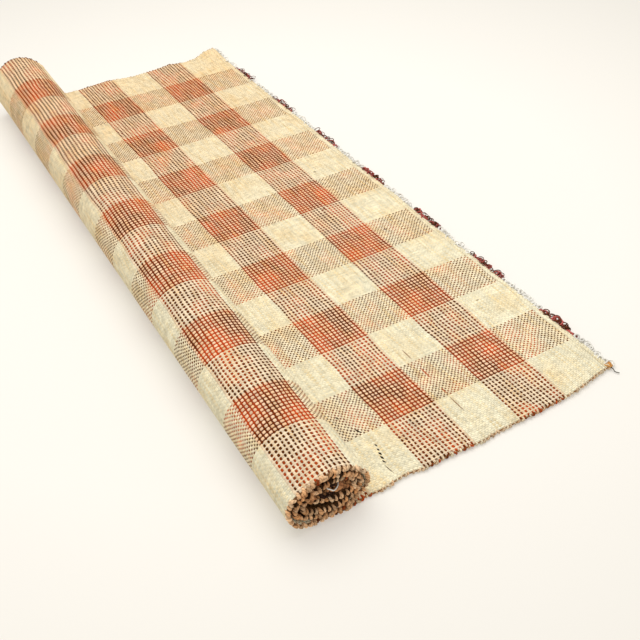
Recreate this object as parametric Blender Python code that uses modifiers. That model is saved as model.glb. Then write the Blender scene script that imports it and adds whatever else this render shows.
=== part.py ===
"""Jute rug, partly rolled up from one end, with a short curly fringe along the other.

Metres. X runs across the rug, Y along it and Z up. The roll lies along the front, at -Y,
and the fringe along the back, at +Y. The rug and its fringe rest on the floor at Z = 0.
The near selvedge, where the roll is tight and low, is at +X. The far one, where the roll
is loose and high, is at -X.
"""
import math
from collections import namedtuple

import bmesh
import bpy
import numpy as np
from mathutils import Matrix, Vector

# The cloth
CHECK = 0.080               # width of one check, a stripe of the warp
STRIPES = 15                # stripes across the rug, cream at both selvedges
THICK = 0.0056              # thickness of the weave
SELVEDGE = 0.004            # what the turned yarns add to the outer stripe on the near side
FAR_SELVEDGE = 0.009        # and on the far side
LENGTH = 1.146              # woven length, from the fringe to the end inside the roll
FLAT_LENGTH = 0.400         # what lies flat for certain, from the fringe
FLAT_STEPS = 16             # steps along the flat part
ROLL_STEPS = 80             # steps along the rolled part
ROLL_CROWDING = 0.32        # share by which those steps shorten towards the tight inner end

# The roll
ROLL_MIDDLE = 0.4496        # fringe edge to the roll's middle, at the near selvedge
ROLL_DRIFT = 0.026          # how much nearer to the fringe that middle is at the far selvedge
ARC_FULLNESS = 2.1          # 2 is a true ellipse, more is squarer
ARC_POINTS = 14             # points on each quarter of a turn, before they are spaced out

# The fringe
PART_GAP = 0.0003           # between a fringe strip and the cloth, and from strip to strip
STRIP_DEPTH = 0.0030        # how far a strip stands out from the cloth's edge
STRAND_HEIGHT = 0.0032      # height of a strip and of a strand at its root
STRAND_WIDTH = 0.0030       # width of a strand at its root
STRANDS = 8                 # strands on each stripe's strip
STRAND_BENDS = 4            # straight lengths in a strand
TIP_SIZE = 0.66             # a strand's tip against its root

# One row for each place that the wound cloth passes, from the outside in, on its mid
# surface: how far it lies from the roll's middle towards the fringe, its height, and what
# is added to both at the loose far end.
Place = namedtuple("Place", "turn side back height far_back far_height")
PLACES = (
    Place(1, "under", 0.0016, 0.0028, 0.0000, 0.0000),
    Place(1, "outer", -0.0532, 0.0384, 0.0020, 0.0150),
    Place(1, "over", -0.0032, 0.0756, 0.0000, 0.0320),
    Place(1, "inner", 0.0516, 0.0370, -0.0020, 0.0160),
    Place(2, "under", 0.0080, 0.0108, 0.0000, 0.0000),
    Place(2, "outer", -0.0446, 0.0372, 0.0008, 0.0150),
    Place(2, "over", -0.0048, 0.0678, 0.0010, 0.0312),
    Place(2, "inner", 0.0434, 0.0380, -0.0016, 0.0155),
    Place(3, "under", 0.0090, 0.0194, 0.0000, 0.0000),
    Place(3, "outer", -0.0350, 0.0392, 0.0002, 0.0145),
    Place(3, "over", -0.0048, 0.0596, 0.0010, 0.0304),
    Place(3, "inner", 0.0352, 0.0410, -0.0012, 0.0145),
    Place(4, "under", 0.0080, 0.0286, 0.0000, 0.0006),
    Place(4, "end", -0.0185, 0.0352, 0.0000, 0.0060),
)

# How far each selvedge stands out of its straight line, at distances along from the fringe.
Edge = namedtuple("Edge", "along near far")
EDGES = (
    Edge(0.000, -0.017, 0.017),
    Edge(0.025, -0.014, 0.015),
    Edge(0.050, -0.008, 0.002),
    Edge(0.075, -0.004, -0.003),
    Edge(0.110, -0.002, 0.006),
    Edge(0.150, -0.001, -0.002),
    Edge(0.200, -0.001, -0.004),
    Edge(0.225, 0.002, 0.001),
    Edge(0.250, 0.001, 0.006),
    Edge(0.275, 0.000, 0.003),
    Edge(0.310, 0.001, 0.000),
    Edge(0.340, -0.003, 0.001),
    Edge(0.375, 0.002, 0.002),
    Edge(0.400, 0.000, 0.000),
    Edge(0.450, 0.003, -0.006),
    Edge(0.550, 0.006, -0.018),
    Edge(0.700, 0.004, -0.020),
    Edge(0.850, 0.003, -0.012),
    Edge(1.000, 0.005, -0.016),
    Edge(1.146, 0.001, -0.010),
)
WAVE = 0.0018               # height of the waves along the rolled selvedges
WAVE_LENGTH = 0.076         # and their length, one band of the weft

# One row for each kind of fringe: its strands' shortest and longest reach from the strip.
Fringe = namedtuple("Fringe", "shortest longest colour")
CREAM_FRINGE = Fringe(0.006, 0.009, (0.83, 0.76, 0.62))
RED_FRINGE = Fringe(0.009, 0.014, (0.30, 0.05, 0.05))
JUTE = (0.72, 0.55, 0.33)


def material(name, colour, roughness):
    """A plain matt finish in one colour."""
    made = bpy.data.materials.new(name)
    made.use_nodes = True
    shader = made.node_tree.nodes["Principled BSDF"]
    shader.inputs["Base Color"].default_value = (*colour, 1.0)
    shader.inputs["Roughness"].default_value = roughness
    shader.inputs["Metallic"].default_value = 0.0
    made.diffuse_color = (*colour, 1.0)
    return made


def arc(start, end, level_start):
    """A quarter of a turn from start to end, as (back, height) points after the start."""
    points = []
    for step in range(1, ARC_POINTS + 1):
        angle = math.radians(90.0 * step / ARC_POINTS)
        rise = math.sin(angle) ** (2.0 / ARC_FULLNESS)
        fall = math.cos(angle) ** (2.0 / ARC_FULLNESS)
        if level_start:
            back = start[0] + (end[0] - start[0]) * rise
            height = end[1] + (start[1] - end[1]) * fall
        else:
            back = end[0] + (start[0] - end[0]) * fall
            height = start[1] + (end[1] - start[1]) * rise
        points.append((back, height))
    return points


def section(across):
    """The cloth's mid surface in section, as (distance from the fringe edge, height) points.

    across is 0 at the near selvedge and 1 at the far one.
    """
    middle = ROLL_MIDDLE - ROLL_DRIFT * across
    stops = [(row.side, row.back + row.far_back * across, row.height + row.far_height * across)
             for row in PLACES]
    line = [stops[0][1:]]
    for (side, *start), (next_side, *end) in zip(stops, stops[1:]):
        if next_side == "end":
            line.append(end)
        else:
            line += arc(start, end, side in ("under", "over"))
    return np.array([(0.0, THICK / 2)] + [(middle - back, height) for back, height in line])


def distances():
    """Distances along the cloth, from the fringe edge, of the rows of points on it."""
    flat = [FLAT_LENGTH * step / FLAT_STEPS for step in range(FLAT_STEPS)]
    rolled = LENGTH - FLAT_LENGTH
    for step in range(ROLL_STEPS + 1):
        share = step / ROLL_STEPS
        flat.append(FLAT_LENGTH + rolled * share * (1 + ROLL_CROWDING * (1 - share)))
    return flat


def selvedge(along):
    """Where the near and far selvedges lie, from the near end of the first stripe."""
    places = [row.along for row in EDGES]
    near = np.interp(along, places, [row.near for row in EDGES])
    far = np.interp(along, places, [row.far for row in EDGES])
    if along > FLAT_LENGTH:
        turn = math.tau * (along - FLAT_LENGTH) / WAVE_LENGTH
        near += WAVE * math.sin(turn)
        far += WAVE * math.sin(0.9 * turn)
    return -SELVEDGE - near, STRIPES * CHECK + FAR_SELVEDGE + far


def rug_sheet():
    """The woven cloth: an open sheet through the wound section, thickened."""
    rows = distances()
    mesh = bpy.data.meshes.new("rug")
    work = bmesh.new()
    bmesh.ops.create_grid(work, x_segments=STRIPES, y_segments=len(rows) - 1, size=0.5)
    lines = []
    for stripe in range(STRIPES + 1):
        line = section(stripe / STRIPES)
        run = np.concatenate(([0.0], np.cumsum(np.hypot(*np.diff(line, axis=0).T))))
        lines.append((np.interp(rows, run, line[:, 0]), np.interp(rows, run, line[:, 1])))
    for vert in work.verts:
        stripe = round((vert.co.x + 0.5) * STRIPES)
        row = round((vert.co.y + 0.5) * (len(rows) - 1))
        near, far = selvedge(rows[row])
        across = {0: near, STRIPES: far}.get(stripe, stripe * CHECK)
        vert.co = (-across, -lines[stripe][0][row], lines[stripe][1][row])
    work.to_mesh(mesh)
    work.free()
    rug = bpy.data.objects.new("rug", mesh)
    shell = rug.modifiers.new("thickness", "SOLIDIFY")
    shell.thickness = THICK
    shell.offset = 0.0
    shell.use_even_offset = True
    mesh.materials.append(material("natural jute", JUTE, 0.9))
    return rug


def curl(number, lane, kind):
    """A strand's straight lengths, as (length, heading) pairs, heading 0 straight out."""
    spread = 0.5 + 0.5 * math.sin(2.3 * lane + 1.7 * number)
    reach = kind.shortest + (kind.longest - kind.shortest) * spread
    swing = math.radians(26 + 12 * math.sin(1.3 * lane + number))
    turn = 1 if number % 2 else -1
    headings = [turn * swing * math.sin(math.tau * (bend + 0.6) / (STRAND_BENDS + 1))
                for bend in range(STRAND_BENDS)]
    step = reach / sum(math.cos(heading) for heading in headings)
    return [(step, heading) for heading in headings]


def fringe_strip(number, kind, finish):
    """One stripe's warp ends: a narrow strip along the cloth's edge and its curly strands."""
    near, far = selvedge(0.0)
    start = near if number == 1 else (number - 1) * CHECK + PART_GAP / 2
    end = far if number == STRIPES else number * CHECK - PART_GAP / 2
    cells = 2 * STRANDS + 1
    lane = (end - start) / STRANDS
    work = bmesh.new()
    bmesh.ops.create_grid(work, x_segments=cells, y_segments=1, size=0.5)
    for vert in work.verts:
        cut = round((vert.co.x + 0.5) * cells)
        side = STRAND_WIDTH / 2 if cut % 2 == 0 else -STRAND_WIDTH / 2
        across = start + lane * ((cut - 1) // 2 + 0.5) + side
        across = {0: start, cells: end}.get(cut, across)
        vert.co = (-across, PART_GAP + STRIP_DEPTH, STRAND_HEIGHT * (vert.co.y + 0.5))
    outer = sorted(work.faces, key=lambda face: -face.calc_center_median().x)
    roots = outer[1::2]
    inner = bmesh.ops.extrude_face_region(work, geom=outer, use_keep_orig=True)
    back = [item for item in inner["geom"] if isinstance(item, bmesh.types.BMVert)]
    bmesh.ops.translate(work, verts=back, vec=(0.0, -STRIP_DEPTH, 0.0))
    bmesh.ops.recalc_face_normals(work, faces=work.faces)
    for place, root in enumerate(roots):
        face = root
        bends = curl(number, place, kind)
        heading = 0.0
        for bend, (step, aim) in enumerate(bends):
            face = bmesh.ops.extrude_discrete_faces(work, faces=[face])["faces"][0]
            centre = face.calc_center_median()
            turn = Matrix.Rotation(aim - heading, 4, "Z")
            bmesh.ops.rotate(work, verts=face.verts, cent=centre, matrix=turn)
            size = TIP_SIZE ** (1.0 / len(bends))
            floor_point = Matrix.Translation((-centre.x, -centre.y, 0.0))
            bmesh.ops.scale(work, verts=face.verts, vec=(size, size, size), space=floor_point)
            out = Vector((-math.sin(aim), math.cos(aim), 0.0)) * step
            bmesh.ops.translate(work, verts=face.verts, vec=out)
            heading = aim
    mesh = bpy.data.meshes.new(f"fringe_{number:02d}")
    work.to_mesh(mesh)
    work.free()
    mesh.materials.append(finish)
    return bpy.data.objects.new(mesh.name, mesh)


def stand_at_origin(pieces):
    """Move every piece so that the middle of their common box is over the origin."""
    bpy.context.view_layer.update()
    corners = [Vector(corner) for piece in pieces for corner in piece.bound_box]
    middle_x = (min(c.x for c in corners) + max(c.x for c in corners)) / 2
    middle_y = (min(c.y for c in corners) + max(c.y for c in corners)) / 2
    for piece in pieces:
        piece.data.transform(Matrix.Translation((-middle_x, -middle_y, 0.0)))


def main():
    """Clear the scene and lay the rug and its fringe on the floor."""
    for old in list(bpy.data.objects):
        bpy.data.objects.remove(old, do_unlink=True)
    holder = bpy.data.collections.new("jute_rug")
    bpy.context.scene.collection.children.link(holder)
    cream = material("cream cotton", CREAM_FRINGE.colour, 0.9)
    red = material("dark red cotton", RED_FRINGE.colour, 0.9)
    pieces = [rug_sheet()]
    for number in range(1, STRIPES + 1):
        kind, finish = (RED_FRINGE, red) if number % 2 == 0 else (CREAM_FRINGE, cream)
        pieces.append(fringe_strip(number, kind, finish))
    for piece in pieces:
        holder.objects.link(piece)
    stand_at_origin(pieces)


main()
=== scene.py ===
"""Looks for a checked jute rug, partly rolled up from one end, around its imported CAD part.

The file is laid out as a Blender add-on and is run as a script. Metres, in the CAD part's
own frame: X runs across the rug, Y along it and Z up. The roll lies along the front, at -Y,
and the fringe along the back, at +Y. Places on the cloth are given as stripes, counted from
the near selvedge at +X, and as a distance along it from the fringe edge.
"""
import math
import random
from collections import namedtuple

import bmesh
import bpy
import numpy as np
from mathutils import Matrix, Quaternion, Vector, noise


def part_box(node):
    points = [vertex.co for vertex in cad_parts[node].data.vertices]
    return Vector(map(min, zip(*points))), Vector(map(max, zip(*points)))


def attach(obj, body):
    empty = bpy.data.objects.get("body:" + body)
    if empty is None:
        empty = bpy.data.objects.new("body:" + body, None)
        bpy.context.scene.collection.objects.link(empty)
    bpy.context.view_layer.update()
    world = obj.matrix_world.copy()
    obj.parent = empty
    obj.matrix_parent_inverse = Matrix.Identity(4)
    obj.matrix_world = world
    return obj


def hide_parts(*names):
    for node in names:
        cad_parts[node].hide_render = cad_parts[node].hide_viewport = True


bl_info = {
    "name": "Rolled jute rug",
    "version": (1, 0, 0),
    "blender": (4, 5, 0),
    "location": "View3D > Sidebar > Jute rug",
    "description": "A checked jute rug, partly rolled up, with its selvedges, fringe and stage",
    "category": "Object",
}

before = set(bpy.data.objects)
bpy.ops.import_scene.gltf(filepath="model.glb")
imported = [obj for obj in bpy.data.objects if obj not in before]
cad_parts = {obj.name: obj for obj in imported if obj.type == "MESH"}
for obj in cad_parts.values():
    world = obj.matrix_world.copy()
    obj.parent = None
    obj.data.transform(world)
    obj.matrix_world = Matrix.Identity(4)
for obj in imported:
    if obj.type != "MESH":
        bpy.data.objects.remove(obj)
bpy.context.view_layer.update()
RUG_LOW, RUG_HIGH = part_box("rug")

# The cloth, as the CAD part has it
CHECK = 0.080               # width of one check, a stripe of the warp
STRIPES = 15
THICK = 0.0056
SELVEDGE = 0.004            # what the turned yarns add to the outer stripe on the near side
FAR_SELVEDGE = 0.009        # and on the far side
LENGTH = 1.146              # woven length, from the fringe to the end inside the roll
FLAT_LENGTH = 0.400
WIDTH = STRIPES * CHECK + 0.02

# The roll, as the CAD part has it
ROLL_MIDDLE = 0.4496        # fringe edge to the roll's middle, at the near selvedge
ROLL_DRIFT = 0.026          # how much nearer to the fringe that middle is at the far selvedge
ARC_FULLNESS = 2.1
ARC_POINTS = 40
Place = namedtuple("Place", "turn side back height far_back far_height")
PLACES = (
    Place(1, "under", 0.0016, 0.0028, 0.0000, 0.0000),
    Place(1, "outer", -0.0532, 0.0384, 0.0020, 0.0150),
    Place(1, "over", -0.0032, 0.0756, 0.0000, 0.0320),
    Place(1, "inner", 0.0516, 0.0370, -0.0020, 0.0160),
    Place(2, "under", 0.0080, 0.0108, 0.0000, 0.0000),
    Place(2, "outer", -0.0446, 0.0372, 0.0008, 0.0150),
    Place(2, "over", -0.0048, 0.0678, 0.0010, 0.0312),
    Place(2, "inner", 0.0434, 0.0380, -0.0016, 0.0155),
    Place(3, "under", 0.0090, 0.0194, 0.0000, 0.0000),
    Place(3, "outer", -0.0350, 0.0392, 0.0002, 0.0145),
    Place(3, "over", -0.0048, 0.0596, 0.0010, 0.0304),
    Place(3, "inner", 0.0352, 0.0410, -0.0012, 0.0145),
    Place(4, "under", 0.0080, 0.0286, 0.0000, 0.0006),
    Place(4, "end", -0.0185, 0.0352, 0.0000, 0.0060),
)

# How far each selvedge stands out of its straight line, at distances along from the fringe
Edge = namedtuple("Edge", "along near far")
EDGES = (
    Edge(0.000, -0.017, 0.017),
    Edge(0.025, -0.014, 0.015),
    Edge(0.050, -0.008, 0.002),
    Edge(0.075, -0.004, -0.003),
    Edge(0.110, -0.002, 0.006),
    Edge(0.150, -0.001, -0.002),
    Edge(0.200, -0.001, -0.004),
    Edge(0.225, 0.002, 0.001),
    Edge(0.250, 0.001, 0.006),
    Edge(0.275, 0.000, 0.003),
    Edge(0.310, 0.001, 0.000),
    Edge(0.340, -0.003, 0.001),
    Edge(0.375, 0.002, 0.002),
    Edge(0.400, 0.000, 0.000),
    Edge(0.450, 0.003, -0.006),
    Edge(0.550, 0.006, -0.018),
    Edge(0.700, 0.004, -0.020),
    Edge(0.850, 0.003, -0.012),
    Edge(1.000, 0.005, -0.016),
    Edge(1.146, 0.001, -0.010),
)
WAVE = 0.0018
WAVE_LENGTH = 0.076
CORNER_LIFT = 0.0055        # how far the far corner of the fringe edge curls up

# The frame's own lines that the cloth is measured from
NEAR_LINE = RUG_LOW.x + STRIPES * CHECK + FAR_SELVEDGE + EDGES[0].far
FRINGE_LINE = RUG_HIGH.y

# The weave: yarns to a check, and where the weft's bands begin and end, in checks
YARNS = 26
SELVEDGE_YARNS = 2
BAND_ENDS = (0.0, 1.10, 2.06, 2.975, 3.93, 4.90, 5.88, 6.86, 7.81, 8.79, 9.77, 10.75,
             11.72, 12.70, 13.67, LENGTH / CHECK)
HEADING_PICKS = 2.8       # picks beside the fringe that hide the dyed warp
ROLLED_SQUEEZE = 0.030      # share by which the stripes draw together once rolled
BOW = 0.30                  # how far a yarn bows over and under, in yarns

# The sheet's mesh
CELLS_PER_STRIPE = 10
FLAT_STEPS = 96
ROLL_STEPS = 196
ROLL_CROWDING = 0.32

# The camera, from the photograph's perspective
LENS = 56.415
SENSOR = 36.0
CAMERA_PLACE = Vector((1.2751, -0.5761, 0.9082))
CAMERA_AIM = Vector((-0.67889, 0.37839, -0.62923))
CAMERA_ROLL = -2.3          # degrees

# The light overhead
SOFTBOX_PLACE = Vector((-0.4, 0.1, 2.7))
SOFTBOX_SIZE = 3.6

Strand = namedtuple("Strand", "points radius tone dye")
INNER_TURNS = 0.72          # distance along at which the roll's outermost turn is complete
ENDS_PER_STRIPE = 14        # warp ends that are drawn for each stripe, rolled in
HOLE_DEPTH = 0.0            # stripes from the near side past which the rolled-in ends are painted nearly black, as painted shade in the roll's hollow
CURLS = 110                 # short curls of rolled-in ends that fill the near end of the hollow

# Slubs and stray threads: place in stripes and checks, length, direction in degrees from
# straight across, radius, tone and how much of it is dyed
Slub = namedtuple("Slub", "stripe along length turn radius tone dye")
SLUBS = (
    Slub(0.70, 4.31, 0.0045, 15, 0.0011, 0.02, 0.0),
    Slub(0.61, 4.33, 0.0040, 15, 0.0013, 0.02, 0.0),
    Slub(0.53, 4.35, 0.0050, 15, 0.0015, 0.02, 0.0),
    Slub(0.45, 4.37, 0.0060, 15, 0.0014, 0.02, 0.0),
    Slub(0.37, 4.39, 0.0050, 15, 0.0011, 0.03, 0.0),
    Slub(0.20, 4.41, 0.0170, 8, 0.0006, 0.16, 0.0),
    Slub(1.10, 4.385, 0.0100, 20, 0.0013, 0.06, 0.0),
    Slub(1.52, 4.51, 0.0060, 20, 0.0011, 0.10, 0.0),
    Slub(0.78, 2.71, 0.0280, 1, 0.0007, 0.40, 0.2),
    Slub(1.14, 2.70, 0.0120, 0, 0.0009, 0.95, 0.8),
    Slub(1.66, 2.70, 0.0240, 0, 0.0010, 1.10, 0.9),
    Slub(2.20, 2.70, 0.0220, 1, 0.0007, 0.45, 0.2),
    Slub(5.10, 1.30, 0.0100, 5, 0.0012, 0.50, 1.0),
    Slub(6.90, 1.55, 0.0080, 75, 0.0011, 0.45, 0.8),
    Slub(8.40, 3.40, 0.0080, 20, 0.0010, 0.70, 0.7),
    Slub(12.30, 3.85, 0.0090, 10, 0.0011, 0.45, 0.9),
    Slub(5.60, 0.90, 0.0045, 40, 0.0009, 0.12, 0.0),
    Slub(8.30, 0.95, 0.0045, 60, 0.0009, 0.12, 0.0),
    Slub(2.75, 0.78, 0.0050, 70, 0.0008, 0.30, 0.0),
)


def smooth_step(value, low, high):
    """0 below low and 1 above high, with a soft change between."""
    share = np.clip((np.asarray(value, float) - low) / (high - low), 0.0, 1.0)
    return share * share * (3 - 2 * share)


# The cloth's surface

def arc(start, end, level_start):
    """A quarter of a turn from start to end, as (back, height) points after the start."""
    points = []
    for step in range(1, ARC_POINTS + 1):
        angle = math.radians(90.0 * step / ARC_POINTS)
        rise = math.sin(angle) ** (2.0 / ARC_FULLNESS)
        fall = math.cos(angle) ** (2.0 / ARC_FULLNESS)
        if level_start:
            back = start[0] + (end[0] - start[0]) * rise
            height = end[1] + (start[1] - end[1]) * fall
        else:
            back = end[0] + (start[0] - end[0]) * fall
            height = start[1] + (end[1] - start[1]) * rise
        points.append((back, height))
    return points


def section(across):
    """The mid surface in section, as (distance from the fringe edge, height) points."""
    middle = ROLL_MIDDLE - ROLL_DRIFT * across
    stops = [(row.side, row.back + row.far_back * across, row.height + row.far_height * across)
             for row in PLACES]
    line = [stops[0][1:]]
    for (side, *start), (next_side, *end) in zip(stops, stops[1:]):
        if next_side == "end":
            line.append(end)
        else:
            line += arc(start, end, side in ("under", "over"))
    return np.array([(0.0, THICK / 2)] + [(middle - back, height) for back, height in line])


SECTIONS = [section(stripe / STRIPES) for stripe in range(STRIPES + 1)]


def across_at(stripe, along):
    """Distance across from the near line, for places counted in stripes."""
    places = [row.along for row in EDGES]
    near = -SELVEDGE - np.interp(along, places, [row.near for row in EDGES])
    far = np.interp(along, places, [row.far for row in EDGES])
    turn = math.tau * (along - FLAT_LENGTH) / WAVE_LENGTH
    rolled = along > FLAT_LENGTH
    near = near - np.where(rolled, WAVE * np.sin(turn), 0.0)
    far = STRIPES * CHECK + FAR_SELVEDGE + far + np.where(rolled, WAVE * np.sin(0.9 * turn), 0.0)
    check = CHECK * (1 - ROLLED_SQUEEZE * smooth_step(along, FLAT_LENGTH, FLAT_LENGTH + 0.1))
    within = stripe * check
    first = near + (check - near) * stripe
    last = far - (far - (STRIPES - 1) * check) * (STRIPES - stripe)
    return np.where(stripe < 1, first, np.where(stripe > STRIPES - 1, last, within))


def lift(stripe, along):
    """How far the flat part stands up off the floor, in soft uneven ripples."""
    fade = 1 - smooth_step(along, FLAT_LENGTH - 0.06, FLAT_LENGTH + 0.01)
    rise = [0.5 + 0.5 * noise.noise(Vector((s * 0.55, d * 7.0, 3.1)))
            + 0.35 * noise.noise(Vector((s * 1.9, d * 26.0, 8.4))) for s, d in zip(stripe, along)]
    corner = smooth_step(stripe, STRIPES - 0.7, STRIPES) * (1 - smooth_step(along, 0.0, CHECK * 0.7))
    return 0.0022 * fade * np.clip(rise, 0.0, 1.5) + CORNER_LIFT * corner


def surface(stripe, along):
    """Points of the cloth's mid surface, for arrays of stripes and distances along."""
    stripe, along = np.broadcast_arrays(np.asarray(stripe, float), np.asarray(along, float))
    distance, height = [], []
    for line in SECTIONS:
        run = np.concatenate(([0.0], np.cumsum(np.hypot(*np.diff(line, axis=0).T))))
        distance.append(np.interp(along, run, line[:, 0]))
        height.append(np.interp(along, run, line[:, 1]))
    left = np.clip(stripe.astype(int), 0, STRIPES - 1)
    share = np.clip(stripe - left, 0.0, 1.0)
    spot = np.arange(len(stripe))
    distance, height = np.array(distance), np.array(height)
    out = distance[left, spot] * (1 - share) + distance[left + 1, spot] * share
    up = height[left, spot] * (1 - share) + height[left + 1, spot] * share
    points = np.stack([NEAR_LINE - across_at(stripe, along), FRINGE_LINE - out, up], axis=1)
    points[:, 2] += lift(stripe, along)
    return points


def directions(stripe, along):
    """Unit vectors at places on the cloth: along it, and out of its upper face."""
    step = 0.0006
    ahead = surface(stripe, np.minimum(along + step, LENGTH))
    behind = surface(stripe, np.maximum(along - step, 0.0))
    run = ahead - behind
    run[:, 0] = 0.0
    run /= np.linalg.norm(run, axis=1)[:, None]
    return run, np.cross((-1.0, 0.0, 0.0), run)


def rows_along():
    """Distances along the cloth, from the fringe edge, of the rows of its mesh."""
    rows = [FLAT_LENGTH * step / FLAT_STEPS for step in range(FLAT_STEPS)]
    rolled = LENGTH - FLAT_LENGTH
    for step in range(ROLL_STEPS + 1):
        share = step / ROLL_STEPS
        rows.append(FLAT_LENGTH + rolled * share * (1 + ROLL_CROWDING * (1 - share)))
    return np.array(rows)


def pick_at(along):
    """Picks counted from the fringe edge, at distances along the cloth."""
    bands = [0] + [SELVEDGE_YARNS + YARNS * band for band in range(1, len(BAND_ENDS))]
    return np.interp(along / CHECK, BAND_ENDS, bands)


def columns_across():
    """Places across the cloth, in stripes, of the columns of its mesh: finer at the edges."""
    inner = np.linspace(0, STRIPES, STRIPES * CELLS_PER_STRIPE + 1)
    return np.sort(np.concatenate([inner, [0.02, 0.05, STRIPES - 0.05, STRIPES - 0.02]]))


# Mesh helpers

def grid_mesh(name, points, uv_name, uvs):
    """A mesh from a grid of points, rows by columns, with a UV map of the same shape."""
    rows, columns = points.shape[:2]
    work = bmesh.new()
    bmesh.ops.create_grid(work, x_segments=columns - 1, y_segments=rows - 1, size=0.5)
    mesh = bpy.data.meshes.new(name)
    work.to_mesh(mesh)
    work.free()
    places = np.zeros(len(mesh.vertices) * 3)
    mesh.vertices.foreach_get("co", places)
    places = places.reshape(-1, 3)
    column = np.rint((places[:, 0] + 0.5) * (columns - 1)).astype(int)
    row = np.rint((places[:, 1] + 0.5) * (rows - 1)).astype(int)
    mesh.vertices.foreach_set("co", points[row, column].ravel())
    corners = np.zeros(len(mesh.loops), int)
    mesh.loops.foreach_get("vertex_index", corners)
    layer = mesh.uv_layers.new(name=uv_name)
    layer.uv.foreach_set("vector", uvs[row[corners], column[corners]].ravel())
    mesh.polygons.foreach_set("use_smooth", [True] * len(mesh.polygons))
    mesh.update()
    return mesh, row, column


def swept_rings(strand, sides):
    """Rings of points round a strand's path, drawn in to a point at both ends."""
    points = np.asarray(strand.points, float)
    radii = np.broadcast_to(np.asarray(strand.radius, float), len(points))
    heading = np.gradient(points, axis=0)
    heading /= np.maximum(np.linalg.norm(heading, axis=1), 1e-9)[:, None]
    side = np.cross(heading[0], (0.0, 0.0, 1.0) if abs(heading[0][2]) < 0.9 else (1.0, 0.0, 0.0))
    rings = []
    turns = np.linspace(0, math.tau, sides + 1)
    for point, ahead, radius in zip(points, heading, radii):
        side = side - ahead * np.dot(side, ahead)
        side /= max(np.linalg.norm(side), 1e-9)
        other = np.cross(ahead, side)
        rings.append(point + radius * (np.cos(turns)[:, None] * side + np.sin(turns)[:, None] * other))
    first = points[0] - heading[0] * radii[0] * 0.5
    last = points[-1] + heading[-1] * radii[-1] * 0.5
    rings = [np.tile(first, (sides + 1, 1))] + rings + [np.tile(last, (sides + 1, 1))]
    rings = np.array(rings)
    rings[:, -1] = rings[:, 0]
    return rings


def for_rings(value, count):
    """A value, or one for each point of a path, for all the rings along that path."""
    values = np.broadcast_to(np.asarray(value, float), count)
    return np.concatenate([values[:1], values, values[-1:]])


def yarn_object(name, strands, finish, sides=7):
    """One piece of many round yarns, each swept along its own path and closed at its ends."""
    rings, around, owner, tone, dye = [], [], [], [], []
    for number, strand in enumerate(strands):
        swept = swept_rings(strand, sides)
        centre = swept[:, :-1].mean(axis=1)
        run = np.concatenate(([0.0], np.cumsum(np.linalg.norm(np.diff(centre, axis=0), axis=1))))
        turns = np.linspace(0, 1, sides + 1)
        around.append(np.stack(np.broadcast_arrays(turns[None, :], run[:, None] * 100), axis=2))
        rings.append(swept)
        owner += [number] * len(swept)
        tone.append(for_rings(strand.tone, len(strand.points)))
        dye.append(for_rings(strand.dye, len(strand.points)))
    points, uvs = np.concatenate(rings), np.concatenate(around)
    points[:, :, 2] = np.maximum(points[:, :, 2], 0.0)
    owner = np.array(owner)
    mesh, row, column = grid_mesh(name, points, "yarn", uvs)
    for label, values in (("tone", tone), ("dye", dye)):
        layer = mesh.attributes.new(label, "FLOAT", "POINT")
        layer.data.foreach_set("value", np.concatenate(values)[row])
    corners = np.array([poly.vertices[0:4] for poly in mesh.polygons])
    links = np.nonzero(owner[row[corners]].min(axis=1) != owner[row[corners]].max(axis=1))[0]
    work = bmesh.new()
    work.from_mesh(mesh)
    work.faces.ensure_lookup_table()
    bmesh.ops.delete(work, geom=[work.faces[link] for link in links], context="FACES")
    bmesh.ops.remove_doubles(work, verts=work.verts, dist=1e-7)
    bmesh.ops.recalc_face_normals(work, faces=work.faces)
    work.to_mesh(mesh)
    work.free()
    mesh.materials.append(finish)
    return place(mesh)


def place(mesh):
    """An object for a finished mesh, in the scene."""
    piece = bpy.data.objects.new(mesh.name, mesh)
    bpy.context.scene.collection.objects.link(piece)
    return piece


def eased(stops, count):
    """A smooth path of count points through a few stops."""
    stops = np.asarray(stops, float)
    padded = np.concatenate([[2 * stops[0] - stops[1]], stops, [2 * stops[-1] - stops[-2]]])
    path = []
    for spot in np.linspace(0, len(stops) - 1, count):
        left = min(int(spot), len(stops) - 2)
        share = spot - left
        before, start, end, after = padded[left:left + 4]
        path.append(0.5 * (2 * start + (end - before) * share
                           + (2 * before - 5 * start + 4 * end - after) * share ** 2
                           + (3 * start - before - 3 * end + after) * share ** 3))
    return np.array(path)


# Materials

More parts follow.
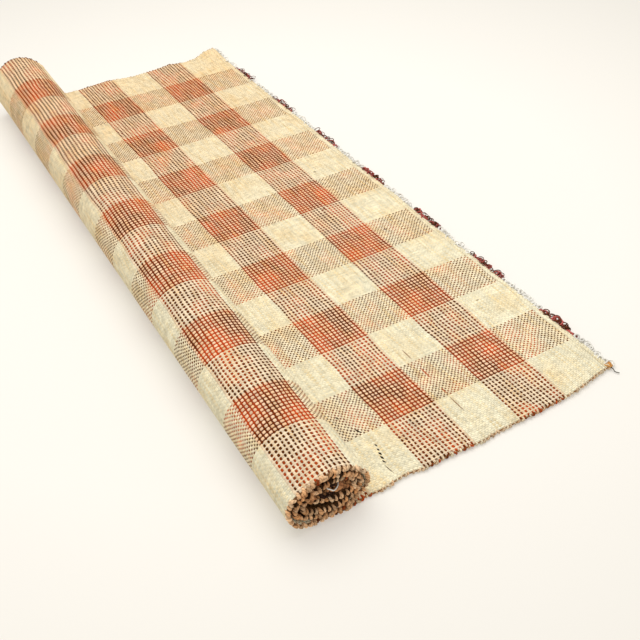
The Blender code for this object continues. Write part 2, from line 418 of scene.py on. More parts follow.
class Nodes:
    """A new material and short ways to add nodes to it."""

    def __init__(self, name, roughness=0.85, sheen=0.0):
        self.material = bpy.data.materials.new(name)
        self.material.use_nodes = True
        self.tree = self.material.node_tree
        self.shader = self.tree.nodes["Principled BSDF"]
        self.shader.inputs["Roughness"].default_value = roughness
        self.shader.inputs["Sheen Weight"].default_value = sheen
        self.shader.inputs["Specular IOR Level"].default_value = 0.1

    def feed(self, socket, value):
        if isinstance(value, bpy.types.NodeSocket):
            self.tree.links.new(value, socket)
        elif hasattr(value, "__len__") and len(value) == 3 and socket.type == "RGBA":
            socket.default_value = (*value, 1.0)
        else:
            socket.default_value = value

    def math(self, operation, *values):
        node = self.tree.nodes.new("ShaderNodeMath")
        node.operation = operation
        for socket, value in zip(node.inputs, values):
            self.feed(socket, value)
        return node.outputs[0]

    def clamped(self, value, low, high, start=0.0, end=1.0):
        """value mapped from low..high to start..end, and held there."""
        node = self.tree.nodes.new("ShaderNodeMapRange")
        for label, entry in zip(("Value", "From Min", "From Max", "To Min", "To Max"),
                                (value, low, high, start, end)):
            self.feed(node.inputs[label], entry)
        return node.outputs["Result"]

    def vector(self, x, y, z=0.0):
        node = self.tree.nodes.new("ShaderNodeCombineXYZ")
        for socket, value in zip(node.inputs, (x, y, z)):
            self.feed(socket, value)
        return node.outputs[0]

    def noise(self, x, y, z=0.0, detail=2.0):
        """Soft noise from 0 to 1, one patch wide for each unit of x, y and z."""
        node = self.tree.nodes.new("ShaderNodeTexNoise")
        node.inputs["Scale"].default_value = 1.0
        node.inputs["Detail"].default_value = detail
        self.feed(node.inputs["Vector"], self.vector(x, y, z))
        return node.outputs[0]

    def scatter(self, x, y=0.0):
        """A number from 0 to 1 that jumps from each whole x and y to the next."""
        node = self.tree.nodes.new("ShaderNodeTexWhiteNoise")
        self.feed(node.inputs["Vector"], self.vector(x, y))
        return node.outputs["Value"]

    def mix(self, share, first, second, blend="MIX"):
        node = self.tree.nodes.new("ShaderNodeMix")
        node.data_type = "RGBA"
        node.blend_type = blend
        for socket, value in ((node.inputs[0], share), (node.inputs[6], first), (node.inputs[7], second)):
            self.feed(socket, value)
        return node.outputs[2]

    def shade(self, colour, amount):
        """colour made lighter or darker by amount."""
        node = self.tree.nodes.new("ShaderNodeVectorMath")
        node.operation = "SCALE"
        self.feed(node.inputs[0], colour)
        self.feed(node.inputs["Scale"], amount)
        return node.outputs[0]

    def uv(self, name):
        node = self.tree.nodes.new("ShaderNodeUVMap")
        node.uv_map = name
        parts = self.tree.nodes.new("ShaderNodeSeparateXYZ")
        self.tree.links.new(node.outputs[0], parts.inputs[0])
        return parts.outputs[0], parts.outputs[1]

    def attribute(self, name):
        node = self.tree.nodes.new("ShaderNodeAttribute")
        node.attribute_name = name
        return node.outputs["Fac"]

    def finish(self, colour, height, depth):
        """Connects the colour, and the height as a bump that is depth metres at most."""
        bump = self.tree.nodes.new("ShaderNodeBump")
        bump.inputs["Strength"].default_value = 1.0
        bump.inputs["Distance"].default_value = depth
        self.feed(bump.inputs["Height"], height)
        self.feed(self.shader.inputs["Base Color"], colour)
        self.tree.links.new(bump.outputs[0], self.shader.inputs["Normal"])
        return self.material


def weave_finish(name, rug):
    """Plain weave on the cloth's own count of ends and picks.

    Each yarn bows over one and under the next. The highest of the warp end, the pick and
    the next pick beside it is what shows, so a thick pick crowds the ends beside it.
    """
    make = Nodes(name, roughness=0.95)
    make.shader.inputs["Specular IOR Level"].default_value = 0.0
    calc = make.math
    end, pick = make.uv("weave")
    drift = make.noise(calc("MULTIPLY", end, 0.10), calc("MULTIPLY", pick, 0.030), 1.0)
    sway = make.noise(calc("MULTIPLY", end, 0.035), calc("MULTIPLY", pick, 0.12), 9.0)
    end = calc("ADD", end, calc("MULTIPLY", calc("SUBTRACT", drift, 0.5), 1.4))
    pick = calc("ADD", pick, calc("MULTIPLY", calc("SUBTRACT", sway, 0.5), 2.2))
    loose = make.noise(calc("MULTIPLY", end, 0.11), calc("MULTIPLY", pick, 0.09), 15.0)
    rolled = make.clamped(pick, YARNS * 4.9, YARNS * 5.4, 0.0, 0.5)
    pick = calc("ADD", pick, calc("MULTIPLY", calc("SUBTRACT", loose, 0.5), rolled))
    warp_number, weft_number = calc("FLOOR", end), calc("FLOOR", pick)
    warp_side = calc("SUBTRACT", calc("FRACT", end), 0.5)
    weft_side = calc("SUBTRACT", calc("FRACT", pick), 0.5)
    next_number = calc("ADD", weft_number, calc("SIGN", weft_side))

    def dyed_group(count):
        whole = calc("FLOOR", calc("DIVIDE", calc("SUBTRACT", count, SELVEDGE_YARNS), YARNS))
        held = calc("MINIMUM", calc("MAXIMUM", whole, 0.0), STRIPES - 1.0)
        return calc("MODULO", held, 2.0)

    past_heading = calc("GREATER_THAN", pick, HEADING_PICKS)
    red_stripe, red_band = calc("MULTIPLY", dyed_group(end), past_heading), dyed_group(pick)
    crossing = calc("MULTIPLY", red_stripe, red_band)

    def bow(count, number):
        return calc("COSINE", calc("MULTIPLY", calc("ADD", calc("SUBTRACT", count, 0.5), number), math.pi))

    def yarn_height(bowed, side, half, sign, body):
        across = calc("DIVIDE", side, half)
        left = calc("SUBTRACT", 1.0, calc("MULTIPLY", across, across))
        there = calc("GREATER_THAN", left, 0.0)
        round_ = calc("MULTIPLY", calc("SQRT", calc("MAXIMUM", left, 0.0)), body)
        height = calc("ADD", calc("MULTIPLY", bowed, sign * BOW), round_)
        return calc("SUBTRACT", calc("MULTIPLY", calc("ADD", height, 1.0), there), 1.0)

    def weft(number, side, sign):
        """Height and colour of one pick."""
        red = calc("MULTIPLY", red_band, calc("MODULO", calc("ABSOLUTE", number), 2.0))
        slack = make.noise(calc("MULTIPLY", end, 0.30), calc("MULTIPLY", number, 3.7), 2.0)
        plain_half = make.clamped(slack, 0.25, 0.75, 0.60, 0.80)
        red_half = make.clamped(slack, 0.25, 0.75, 0.42, 0.58)
        half = calc("ADD", plain_half, calc("MULTIPLY", red, calc("SUBTRACT", red_half, plain_half)))
        height = yarn_height(bow(end, weft_number), side, half, sign, 0.42)
        length = make.noise(calc("MULTIPLY", end, 0.05), calc("MULTIPLY", number, 0.9), 4.0)
        jute = make.mix(make.clamped(length, 0.45, 0.75), tuple(rug.jute), tuple(rug.amber))
        return height, make.mix(red, jute, red_yarn)

    dye = make.noise(calc("MULTIPLY", end, 0.055), calc("MULTIPLY", pick, 0.075), 6.0)
    red_yarn = make.mix(make.clamped(dye, 0.38, 0.66), tuple(rug.red), tuple(rug.rust))
    lone_yarn = make.mix(make.clamped(dye, 0.46, 0.68), tuple(rug.umber), tuple(rug.rust))
    red_yarn = make.mix(crossing, lone_yarn, red_yarn)
    slack = make.noise(calc("MULTIPLY", warp_number, 3.1), calc("MULTIPLY", pick, 0.30), 5.0)
    lone_end = calc("SUBTRACT", red_stripe, crossing)
    warp_half = make.clamped(slack, 0.25, 0.75, 0.21, 0.32)
    warp_half = calc("ADD", warp_half, calc("MULTIPLY", lone_end, 0.13))
    swell = make.clamped(make.scatter(calc("ADD", warp_number, 0.5), weft_number), 0.0, 1.0, 0.80, 1.25)
    warp_half = calc("MULTIPLY", warp_half, swell)
    warp_height = yarn_height(bow(pick, warp_number), warp_side, warp_half, 1.0, 0.32)
    warp_colour = make.mix(red_stripe, tuple(rug.cotton), red_yarn)
    away = calc("ABSOLUTE", weft_side)
    own_height, own_colour = weft(weft_number, away, -1.0)
    next_height, next_colour = weft(next_number, calc("SUBTRACT", 1.0, away), 1.0)
    pick_height = calc("MAXIMUM", own_height, next_height)
    height = calc("MAXIMUM", warp_height, pick_height)
    colour = make.mix(calc("GREATER_THAN", next_height, own_height), own_colour, next_colour)
    colour = make.mix(calc("GREATER_THAN", warp_height, pick_height), colour, warp_colour)
    colour = make.mix(red_stripe, colour, make.mix(1.0, colour, tuple(rug.stripe_tint), "MULTIPLY"))
    colour = make.mix(red_band, colour, make.mix(1.0, colour, tuple(rug.band_tint), "MULTIPLY"))
    crossed = make.mix(1.0, colour, tuple(rug.check_tint), "MULTIPLY")
    colour = make.mix(crossing, colour, crossed)
    far = make.clamped(end, YARNS * 4.0, YARNS * 14.0)
    colour = make.mix(far, colour, make.mix(1.0, colour, tuple(rug.far_tint), "MULTIPLY"))
    stain = make.noise(calc("MULTIPLY", end, 0.045), calc("MULTIPLY", pick, 0.05), 12.0)
    stained = make.mix(1.0, colour, tuple(rug.stain), "MULTIPLY")
    colour = make.mix(make.clamped(stain, 0.50, 0.72), colour, stained)
    # Painted shade: the last pick of the heading is darkened, as in its own shadow
    heading = calc("COMPARE", pick, HEADING_PICKS, 0.3)
    colour = make.shade(colour, make.clamped(heading, 0.0, 1.0, 1.0, 0.84))
    # Painted shade: past the roll's outermost turn the cloth is darkened with the inside tint, where shade
    # falls inside the roll
    inside = make.clamped(pick, float(pick_at(INNER_TURNS)), float(pick_at(INNER_TURNS + 0.04)))
    colour = make.mix(inside, colour, make.mix(1.0, colour, tuple(rug.inside), "MULTIPLY"))
    weft_tone = make.noise(calc("MULTIPLY", end, 0.15), calc("MULTIPLY", weft_number, 3.7), 7.0)
    warp_tone = make.noise(calc("MULTIPLY", warp_number, 3.7), calc("MULTIPLY", pick, 0.15), 8.0)
    tone = calc("MULTIPLY", calc("ADD", weft_tone, warp_tone), 0.5)
    colour = make.shade(colour, make.clamped(tone, 0.35, 0.65, 0.78, 1.16))
    # Painted shade: the colour is darkened with the hollow tint where the weave lies low, in the hollows
    # between the yarns
    depth = make.clamped(height, -0.35, 0.30)
    colour = make.mix(depth, make.mix(1.0, colour, tuple(rug.hollow), "MULTIPLY"), colour)
    ply = calc("SINE", calc("MULTIPLY", calc("ADD", calc("ADD", end, pick), weft_side), math.tau * 2.0))
    height = calc("ADD", height, calc("MULTIPLY", ply, 0.03))
    return make.finish(colour, height, CHECK / YARNS * 0.8)


def yarn_finish(name, plain, dyed, shadow=0.55):
    """A plied yarn, plain or dyed by strand: lighter and darker in random patches, with painted shade in the
    grooves between the strands twisted round it.
    """
    make = Nodes(name, roughness=0.9, sheen=0.02)
    around, along = make.uv("yarn")
    twist = make.math("ADD", make.math("MULTIPLY", around, 2.0), make.math("MULTIPLY", along, 3.0))
    ply = make.math("ABSOLUTE", make.math("SINE", make.math("MULTIPLY", twist, math.pi)))
    tone, dye = make.attribute("tone"), make.attribute("dye")
    colour = make.mix(dye, plain, dyed)
    patch = make.noise(make.math("MULTIPLY", along, 1.3), make.math("MULTIPLY", tone, 31.0), around)
    colour = make.shade(colour, make.clamped(patch, 0.2, 0.8, 0.72, 1.12))
    colour = make.shade(colour, tone)
    # Painted shade: the grooves of the ply are darkened by the shadow factor
    colour = make.mix(make.clamped(ply, 0.0, 0.6), make.shade(colour, shadow), colour)
    return make.finish(colour, ply, 0.0004)


# Operators

class RugSettings(bpy.types.PropertyGroup):
    """Sizes and colours of the rug and its stage."""
    yarn: bpy.props.FloatProperty(
        name="Weft yarn", description="Thickness of the jute weft where it turns at a selvedge",
        default=0.0031, unit="LENGTH")
    loop_reach: bpy.props.FloatProperty(
        name="Loop reach", description="How far a turned weft yarn stands out of the selvedge",
        default=0.0022, unit="LENGTH")
    cream_fringe: bpy.props.FloatProperty(
        name="Cream fringe", description="Length of a cream warp end in the fringe",
        default=0.026, unit="LENGTH")
    red_fringe: bpy.props.FloatProperty(
        name="Red fringe", description="Length of a red warp end in the fringe",
        default=0.046, unit="LENGTH")
    cotton: bpy.props.FloatVectorProperty(
        name="Cream cotton", description="Colour of the cream warp", subtype="COLOR",
        default=(0.90, 0.83, 0.61))
    jute: bpy.props.FloatVectorProperty(
        name="Natural jute", description="Colour of the natural weft", subtype="COLOR",
        default=(0.90, 0.83, 0.60))
    amber: bpy.props.FloatVectorProperty(
        name="Amber jute", description="Colour of the darker lengths of the natural weft",
        subtype="COLOR", default=(0.88, 0.70, 0.38))
    red: bpy.props.FloatVectorProperty(
        name="Dark red", description="Colour of the dyed warp and weft", subtype="COLOR",
        default=(0.15, 0.038, 0.008))
    rust: bpy.props.FloatVectorProperty(
        name="Rust", description="Colour of the brighter patches of the dyed yarns",
        subtype="COLOR", default=(0.60, 0.100, 0.022))
    umber: bpy.props.FloatVectorProperty(
        name="Umber", description="Colour of the dyed yarns where they cross plain ones",
        subtype="COLOR", default=(0.110, 0.032, 0.003))
    stripe_tint: bpy.props.FloatVectorProperty(
        name="Stripe tint", description="Tint that the dyed warp leaves on the yarns beside it",
        subtype="COLOR", default=(1.0, 0.95, 0.93))
    band_tint: bpy.props.FloatVectorProperty(
        name="Band tint", description="Tint that the dyed weft leaves on the yarns beside it",
        subtype="COLOR", default=(0.99, 0.86, 0.83))
    check_tint: bpy.props.FloatVectorProperty(
        name="Check tint", description="Further tint where dyed warp and weft cross",
        subtype="COLOR", default=(1.0, 0.90, 0.86))
    stain: bpy.props.FloatVectorProperty(
        name="Stain", description="Tint of the warmer patches of the cloth", subtype="COLOR",
        default=(1.0, 0.93, 0.84))
    far_tint: bpy.props.FloatVectorProperty(
        name="Far tint", description="Warmer tint of the cloth toward its far selvedge",
        subtype="COLOR", default=(0.96, 0.86, 0.77))
    # Painted shade: the tint that darkens the turns inside the roll
    inside: bpy.props.FloatVectorProperty(
        name="Inside", description="Darker tint of the turns inside the roll", subtype="COLOR",
        default=(0.11, 0.06, 0.035))
    # Painted shade: the tint that darkens the hollows between the yarns
    hollow: bpy.props.FloatVectorProperty(
        name="Hollow", description="Tint of the hollows between the yarns", subtype="COLOR",
        default=(0.54, 0.42, 0.29))
    maroon: bpy.props.FloatVectorProperty(
        name="Maroon", description="Colour of the dyed warp ends in the fringe",
        subtype="COLOR", default=(0.50, 0.11, 0.095))
    off_white: bpy.props.FloatVectorProperty(
        name="Off-white", description="Colour of the cream warp ends in the fringe",
        subtype="COLOR", default=(0.87, 0.85, 0.78))
    tan: bpy.props.FloatVectorProperty(
        name="Tan", description="Colour of the jute where it turns at a selvedge",
        subtype="COLOR", default=(0.72, 0.35, 0.14))
    orange: bpy.props.FloatVectorProperty(
        name="Orange jute", description="Colour of the knotted jute at the near corner",
        subtype="COLOR", default=(0.78, 0.38, 0.11))
    floor: bpy.props.FloatVectorProperty(
        name="Floor", description="Colour of the floor", subtype="COLOR",
        default=(0.865, 0.832, 0.770))
    # Painted shade: the floor colour farther out, darker to stand in for the light falling off
    floor_falloff_shade: bpy.props.FloatVectorProperty(
        name="Far floor", description="Colour of the floor far from the rug", subtype="COLOR",
        default=(0.70, 0.67, 0.61))
    floor_glow: bpy.props.FloatProperty(
        name="Floor glow", description="Share of the floor's light that comes from below it",
        default=0.42)
    softbox: bpy.props.FloatProperty(
        name="Softbox", description="Power of the large light overhead", default=73.0, unit="POWER")
    sky: bpy.props.FloatProperty(
        name="Sky", description="Strength of the light from all around", default=0.70)


def settle(piece, slot, *nodes):
    """Hangs a finished piece on the part's root body, and hides the CAD parts that it stands in for."""
    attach(piece, "root")
    if nodes:
        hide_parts(*nodes)


class RUG_OT_cloth(bpy.types.Operator):
    """Weave the cloth, flat at one end and rolled up at the other"""
    bl_idname = "rug.cloth"
    bl_label = "Cloth"

    def execute(self, context):
        rows, columns = rows_along(), columns_across()
        along, stripe = np.meshgrid(rows, columns, indexing="ij")
        points = surface(stripe.ravel(), along.ravel()).reshape(len(rows), len(columns), 3)
        ends = np.interp(stripe, [0, 1, STRIPES - 1, STRIPES],
                         [0, SELVEDGE_YARNS + YARNS, SELVEDGE_YARNS + YARNS * (STRIPES - 1),
                          2 * SELVEDGE_YARNS + YARNS * STRIPES])
        counts = np.stack([ends, pick_at(along)], axis=2)
        mesh, row, column = grid_mesh("rug_cloth", points, "weave", counts)
        cloth = place(mesh)
        thin = cloth.vertex_groups.new(name="thin")
        inset = np.minimum(columns, STRIPES - columns)[column]
        share = 0.60 + 0.40 * smooth_step(inset, 0.0, 0.04)
        share *= 0.6 + 0.4 * smooth_step(rows[row], 0.0, 0.006)
        for index in np.nonzero(share < 0.999)[0]:
            thin.add([int(index)], float(1.0 - share[index]), "REPLACE")
        shell = cloth.modifiers.new("thickness", "SOLIDIFY")
        shell.thickness = THICK
        shell.offset = 0.0
        shell.vertex_group = thin.name
        shell.invert_vertex_group = True
        mesh.materials.append(weave_finish("checked weave", context.scene.rug))
        settle(cloth, "natural_jute", "rug")
        return {"FINISHED"}


class RUG_OT_selvedges(bpy.types.Operator):
    """Turn the weft yarns round the outermost warp end along both selvedges"""
    bl_idname = "rug.selvedges"
    bl_label = "Selvedges"

    def execute(self, context):
        rug = context.scene.rug
        finish = yarn_finish("turned jute", tuple(rug.jute), tuple(rug.tan), shadow=0.5)
        red_finish = yarn_finish("turned red jute", tuple(rug.umber), tuple(rug.rust), shadow=0.6)
        for name, stripe, seed in (("selvedge_near", 0.0, 11), ("selvedge_far", float(STRIPES), 12)):
            chance = random.Random(seed)
            outward = 1.0 if stripe == 0.0 else -1.0
            pitch = CHECK / YARNS
            count = int(LENGTH / (2 * pitch))
            strands, dyed = [], []
            for turn in range(count):
                middle = (turn + 0.5 + chance.uniform(-0.25, 0.25)) * 2 * pitch
                rolled = middle > FLAT_LENGTH + 0.02
                size = rug.yarn / 2 * (chance.uniform(1.05, 1.65) if rolled else chance.uniform(0.7, 1.1))
                reach = rug.loop_reach * (chance.uniform(0.4, 1.7) if rolled else chance.uniform(0.3, 1.3))
                slant = chance.uniform(0.1, 0.45) * chance.choice((1, 1, 1, -1))
                drop = chance.uniform(-0.5, 0.5)
                stops = ((-0.0048, 0.0, -slant), (-0.0024, 0.45, -slant), (0.1 * reach, 0.7, -0.8 * slant),
                         (reach, drop, 0.0), (0.1 * reach, -0.7, 0.8 * slant), (-0.0024, -0.45, slant),
                         (-0.0048, 0.0, slant))
                along = np.clip([middle + shift * 2 * pitch for _, _, shift in stops], 0.0, LENGTH)
                places = np.full(len(stops), stripe)
                base = surface(places, along)
                up = directions(places, along)[1]
                path = [point + np.array((outward * out, 0, 0)) + normal * rise * 0.0017
                        for point, normal, (out, rise, _) in zip(base, up, stops)]
                band = np.searchsorted(np.array(BAND_ENDS) * CHECK, middle) - 1
                far_side = outward < 0 and middle < INNER_TURNS
                if band % 2 == 1 and (far_side or turn % 2 == 1 and (not rolled or chance.random() < 0.2)):
                    tone = chance.uniform(0.6, 1.0) if far_side else chance.uniform(0.8, 1.4)
                    bright = chance.uniform(0.0, 0.3 if far_side else 0.8)
                    dyed.append(Strand(eased(path, 11), 0.85 * size, tone, bright))
                    continue
                bare = chance.uniform(0.60, 1.0) if rolled else chance.uniform(0.15, 0.7)
                dye = np.full(11, bare)
                if middle < INNER_TURNS:
                    dye *= np.sin(np.linspace(0.15, 0.85, 11) * math.pi)
                tone = chance.uniform(0.7, 1.35) if rolled else chance.uniform(0.75, 1.05)
                strands.append(Strand(eased(path, 11), size, tone, dye))
            # The outermost warp end, as a cord under the turned loops. Its dark tone is painted shade that
            # shows in the gaps between the loops, darker still on the roll and on its inner turns, where shade
            # falls.
            along = np.linspace(0.001, LENGTH - 0.001, 420)
            cord = surface(np.full(len(along), stripe), along)
            cord[:, 0] -= outward * 0.0006
            share = (smooth_step(along, FLAT_LENGTH - 0.03, FLAT_LENGTH + 0.03)
                     + smooth_step(along, INNER_TURNS - 0.02, INNER_TURNS + 0.04)) / 2
            strands.append(Strand(cord, 0.0016 + 0.0009 * share, 0.55 - 0.48 * share, 1.0))
            settle(yarn_object(name, strands, finish), "natural_jute")
            red_name = name.replace("selvedge", "red_turns")
            settle(yarn_object(red_name, dyed, red_finish), "natural_jute")
        return {"FINISHED"}


class RUG_OT_heading(bpy.types.Operator):
    """Twine a pair of cream yarns along the fringe edge and the rolled-in end"""
    bl_idname = "rug.heading"
    bl_label = "Heading"

    def execute(self, context):
        rug = context.scene.rug
        finish = yarn_finish("twined cotton", tuple(rug.cotton), tuple(rug.red), shadow=0.7)
        for name, along, twist in (("heading_outer", 0.0008, 0.0075), ("heading_inner", LENGTH - 0.001, 0.009)):
            strands = []
            count = 1500
            stripe = np.linspace(0.02, STRIPES - 0.02, count)
            base = surface(stripe, np.full(count, along))
            run, up = directions(stripe, np.full(count, along))
            for start in (0.0, math.pi):
                turn = start + math.tau * np.linspace(0, WIDTH / twist, count)
                path = base + 0.0011 * (np.cos(turn)[:, None] * run + np.sin(turn)[:, None] * up)
                strands.append(Strand(path, 0.0011, 1.0, 0.0))
            settle(yarn_object(name, strands, finish, sides=6), "cream_cotton")
        return {"FINISHED"}


def curled_end(chance, start, heading, length, curl, count=18):
    """A warp end that leaves the edge and curls on the floor."""
    point = np.array(start, float)
    path = [point.copy()]
    step = length / (count - 1)
    hump = chance.uniform(0.0005, 0.0060)
    for number in range(1, count):
        share = number / (count - 1)
        heading += curl * step * min(1.0, 6.0 * max(0.0, share - 0.12))
        point = point + step * np.array((math.cos(heading), math.sin(heading), 0.0))
        bent = point.copy()
        bent[2] = start[2] * (1 - share) + 0.0012 * share + hump * math.sin(math.pi * share)
        path.append(bent)
    return np.array(path)


class RUG_OT_fringe(bpy.types.Operator):
    """Leave the warp ends of every stripe as a short curly fringe"""
    bl_idname = "rug.fringe"
    bl_label = "Fringe"

    def execute(self, context):
        rug = context.scene.rug
        cream = yarn_finish("cream warp ends", tuple(rug.off_white), tuple(rug.umber), shadow=0.85)
        red = yarn_finish("maroon warp ends", tuple(rug.umber), tuple(rug.maroon))
        for number in range(1, STRIPES + 1):
            chance = random.Random(100 + number)
            dyed = number % 2 == 0
            length = rug.red_fringe if dyed else rug.cream_fringe * (1.3 - 0.02 * number)
            count = 30 if dyed else 18
            strands = []
            for lane in range(count):
                stripe = number - 1 + (lane + chance.uniform(0.2, 0.8)) / count
                if dyed:
                    stripe = number - 0.5 + 0.84 * (stripe - number + 0.5)
                base = surface([stripe], [0.002])[0]
                heading = math.pi / 2 + chance.uniform(-0.7, 0.7)
                curl = chance.choice((-1, 1)) * chance.uniform(150, 360)
                tuft = dyed and lane % 2 == 0
                size = chance.uniform(0.0010, 0.0015) if tuft else chance.uniform(0.0005, 0.0009)
                size *= (1.05 if dyed else 1.75) - 0.03 * number
                reach = length * (chance.uniform(0.3, 0.5) if tuft else chance.uniform(0.6, 1.1))
                path = curled_end(chance, base, heading, reach, curl)
                dye = chance.uniform(0.6, 1.0) if tuft else chance.uniform(0.0, 0.12)
                tone = chance.uniform(0.7, 1.3) if dyed else chance.uniform(0.95, 1.12)
                strands.append(Strand(path, size, tone, dye))
            name = f"fringe_ends_{number:02d}"
            piece = yarn_object(name, strands, red if dyed else cream, sides=6)
            settle(piece, "red_cotton" if dyed else "cream_cotton", f"fringe_{number:02d}")
        self.knot(rug)
        return {"FINISHED"}

    def knot(self, rug):
        """The orange knot at the near corner, with a stray grey end."""
        chance = random.Random(5)
        corner = surface([0.0], [0.003])[0]
        strands = []
        for loop in range(5):
            turns = np.linspace(0, math.tau * chance.uniform(0.8, 1.2), 14) + chance.uniform(0, 6)
            wide, tilt = chance.uniform(0.0018, 0.0032), chance.uniform(-0.6, 0.6)
            middle = corner + (chance.uniform(-0.004, 0.001), chance.uniform(-0.003, 0.003), 0.0012)
            strands.append(Strand([middle + wide * np.array((math.cos(t), math.sin(t),
                                                             tilt * math.cos(t + loop)))
                                   for t in turns], 0.0011, chance.uniform(0.8, 1.1), 0.0))
        stray = [corner + shift for shift in ((0.000, 0.002, 0.000), (0.005, 0.004, -0.0010),
                                              (0.010, 0.003, -0.0018), (0.015, 0.006, -0.0018))]
        strands.append(Strand(eased(stray, 14), 0.0007, 1.0, 1.0))
        finish = yarn_finish("orange jute", tuple(rug.orange), (0.16, 0.15, 0.12))
        settle(yarn_object("corner_knot", strands, finish, sides=6), "natural_jute")


class RUG_OT_rolled_in(bpy.types.Operator):
    """Let the warp ends of the inner end lie tangled in the roll's hollow"""
    bl_idname = "rug.rolled_in"
    bl_label = "Rolled-in ends"

    def execute(self, context):
        rug = context.scene.rug
        chance = random.Random(71)
        strands = []
        for lane in range(STRIPES * ENDS_PER_STRIPE):
            stripe = (lane + chance.uniform(0.1, 0.9)) / ENDS_PER_STRIPE
            share = stripe / STRIPES
            start = surface([stripe], [LENGTH - 0.002])[0]
            middle = FRINGE_LINE - (ROLL_MIDDLE - ROLL_DRIFT * share) + chance.uniform(-0.004, 0.006)
            deep = stripe > HOLE_DEPTH
            height = (0.0420 if deep else 0.0375) + 0.009 * share
            wide = chance.uniform(0.010, 0.024)
            tall = chance.uniform(0.002, 0.0090 if deep else 0.0040)
            turn = math.tau * chance.uniform(0.5, 0.95)
            path = [start]
            for step in range(1, 11):
                angle = math.pi + turn * step / 10 * chance.choice((1, 1, 1, 0.96))
                path.append((start[0] + chance.uniform(-0.003, 0.003), middle - wide * math.cos(angle),
                             height + tall * math.sin(angle)))
            # Painted shade: the deep ends are made nearly black, so the hollow behind the roll's end reads as a
            # dark hole
            tone = chance.uniform(0.02, 0.10) if deep else chance.uniform(0.5, 1.1)
            strands.append(Strand(eased(path, 22), chance.uniform(0.0014, 0.0024), tone,
                                  chance.uniform(0.0, 0.5)))
        edge = surface([0.0], [LENGTH])[0][0]
        for curl in range(CURLS):
            back = chance.uniform(-0.034, 0.036)
            low = 0.0315 + 0.5 * max(0.0, abs(back) - 0.024)
            centre = np.array((edge - chance.uniform(0.001, 0.012), FRINGE_LINE - ROLL_MIDDLE - back,
                               low + max(0.0, 0.0410 - low) * chance.random()))
            tilt, half = chance.uniform(0, math.pi), chance.uniform(0.002, 0.0045)
            way = np.array((chance.uniform(-0.3, 0.3), math.cos(tilt), 0.7 * math.sin(tilt)))
            bulge = np.array((0.0016, 0.0, 0.0))
            path = [centre - half * way - bulge, centre + bulge, centre + half * way - bulge]
            strands.append(Strand(eased(path, 8), chance.uniform(0.0016, 0.0026),
                                  chance.uniform(0.3, 1.2), chance.uniform(0.0, 0.25)))
        finish = yarn_finish("rolled-in ends", tuple(rug.tan), tuple(rug.maroon))
        settle(yarn_object("rolled_in_ends", strands, finish, sides=6), "natural_jute")
        middle = FRINGE_LINE - ROLL_MIDDLE
        thread = [(edge - 0.026, middle + 0.019, 0.0460), (edge - 0.003, middle + 0.0165, 0.0450),
                  (edge + 0.003, middle + 0.0085, 0.0425), (edge + 0.003, middle + 0.0030, 0.0465),
                  (edge - 0.001, middle - 0.0010, 0.0495), (edge - 0.025, middle - 0.004, 0.0520)]
        white = yarn_finish("loose thread", tuple(rug.off_white), tuple(rug.red), shadow=0.8)
        settle(yarn_object("loose_thread", [Strand(eased(thread, 24), 0.0008, 1.15, 0.0)], white),
               "cream_cotton")
        return {"FINISHED"}


class RUG_OT_slubs(bpy.types.Operator):
    """Lay the thick places and stray threads that show on the cloth"""
    bl_idname = "rug.slubs"
    bl_label = "Slubs"

    def execute(self, context):
        rug = context.scene.rug
        strands = []
        for slub in SLUBS:
            turn = math.radians(slub.turn)
            shares = np.linspace(-0.5, 0.5, 7)
            stripe = slub.stripe + shares * slub.length * math.cos(turn) / CHECK
            along = slub.along * CHECK + shares * slub.length * math.sin(turn)
            base = surface(stripe, along)
            up = directions(stripe, along)[1]
            path = base + up * (THICK / 2 - 0.2 * slub.radius)
            swell = slub.radius * (0.45 + 0.55 * np.cos(shares * math.pi))
            strands.append(Strand(path, swell, slub.tone, slub.dye))
        finish = yarn_finish("slubs", tuple(rug.tan), tuple(rug.rust))
        settle(yarn_object("slubs", strands, finish, sides=6), "natural_jute")
        return {"FINISHED"}


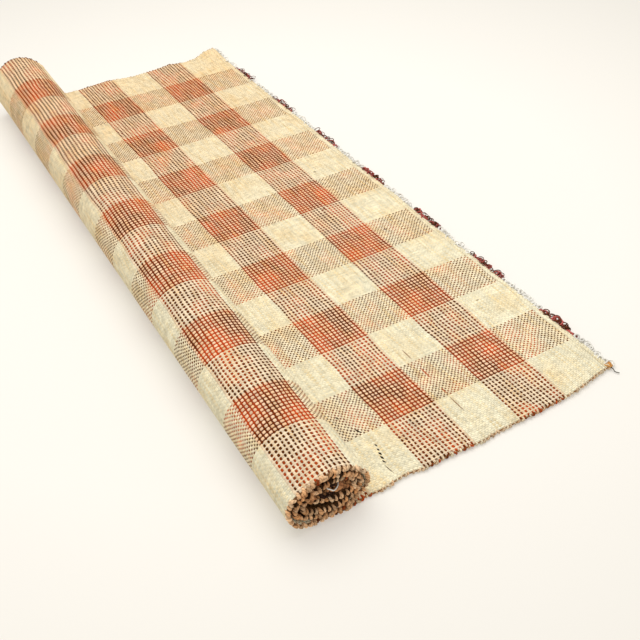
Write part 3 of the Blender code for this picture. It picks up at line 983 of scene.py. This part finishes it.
class RUG_OT_stage(bpy.types.Operator):
    """Set the floor, the lights and the camera"""
    bl_idname = "rug.stage"
    bl_label = "Stage"

    def execute(self, context):
        rug, scene = context.scene.rug, context.scene
        work = bmesh.new()
        bmesh.ops.create_grid(work, x_segments=4, y_segments=4, size=6.0)
        mesh = bpy.data.meshes.new("floor")
        work.to_mesh(mesh)
        work.free()
        make = Nodes("pale floor", roughness=0.6)
        where = make.tree.nodes.new("ShaderNodeTexCoord").outputs["Object"]
        reach = make.tree.nodes.new("ShaderNodeVectorMath")
        reach.operation = "LENGTH"
        make.feed(reach.inputs[0], where)
        # Painted shade: from 0.6 m to 1.6 m out from the floor's middle the floor darkens to its far colour,
        # standing in for the fall of the light
        away = make.clamped(reach.outputs["Value"], 0.6, 1.6)
        paper = make.mix(away, tuple(rug.floor), tuple(rug.floor_falloff_shade))
        make.feed(make.shader.inputs["Emission Color"], paper)
        make.feed(make.shader.inputs["Base Color"], make.shade(paper, 1 - rug.floor_glow))
        make.shader.inputs["Emission Strength"].default_value = rug.floor_glow
        mesh.materials.append(make.material)
        place(mesh)

        scene.world = bpy.data.worlds.new("studio")
        scene.world.use_nodes = True
        sky = scene.world.node_tree.nodes["Background"]
        sky.inputs["Color"].default_value = (1.0, 0.99, 0.97, 1.0)
        sky.inputs["Strength"].default_value = rug.sky
        light = bpy.data.lights.new("softbox", "AREA")
        light.shape = "DISK"
        light.size = SOFTBOX_SIZE
        light.energy = rug.softbox
        light.color = (1.0, 0.985, 0.96)
        lamp = bpy.data.objects.new("softbox", light)
        lamp.location = SOFTBOX_PLACE
        lamp.rotation_euler = SOFTBOX_PLACE.to_track_quat("Z", "Y").to_euler()
        scene.collection.objects.link(lamp)

        camera = bpy.data.cameras.new("camera")
        camera.lens = LENS
        camera.sensor_width = SENSOR
        camera.sensor_fit = "HORIZONTAL"
        camera.clip_end = 50.0
        holder = bpy.data.objects.new("camera", camera)
        holder.location = CAMERA_PLACE
        turn = CAMERA_AIM.to_track_quat("-Z", "Y") @ Quaternion((0, 0, 1), math.radians(CAMERA_ROLL))
        holder.rotation_euler = turn.to_euler()
        scene.collection.objects.link(holder)
        scene.camera = holder
        scene.view_settings.view_transform = "Standard"
        return {"FINISHED"}


class RUG_PT_panel(bpy.types.Panel):
    """Sizes and colours of the rug, and the steps that make it"""
    bl_idname = "RUG_PT_panel"
    bl_label = "Jute rug"
    bl_space_type = "VIEW_3D"
    bl_region_type = "UI"
    bl_category = "Jute rug"

    def draw(self, context):
        for name in RugSettings.__annotations__:
            self.layout.prop(context.scene.rug, name)
        for step in STEPS:
            self.layout.operator(step.bl_idname)


STEPS = (RUG_OT_cloth, RUG_OT_selvedges, RUG_OT_heading, RUG_OT_fringe, RUG_OT_rolled_in,
         RUG_OT_slubs, RUG_OT_stage)
CLASSES = (RugSettings, *STEPS, RUG_PT_panel)


def register():
    for entry in CLASSES:
        bpy.utils.register_class(entry)
    bpy.types.Scene.rug = bpy.props.PointerProperty(type=RugSettings)


def unregister():
    del bpy.types.Scene.rug
    for entry in reversed(CLASSES):
        bpy.utils.unregister_class(entry)


def main():
    """Make the rug and its stage."""
    register()
    for step in STEPS:
        group, action = step.bl_idname.split(".")
        getattr(getattr(bpy.ops, group), action)()


if __name__ == "__main__":
    main()
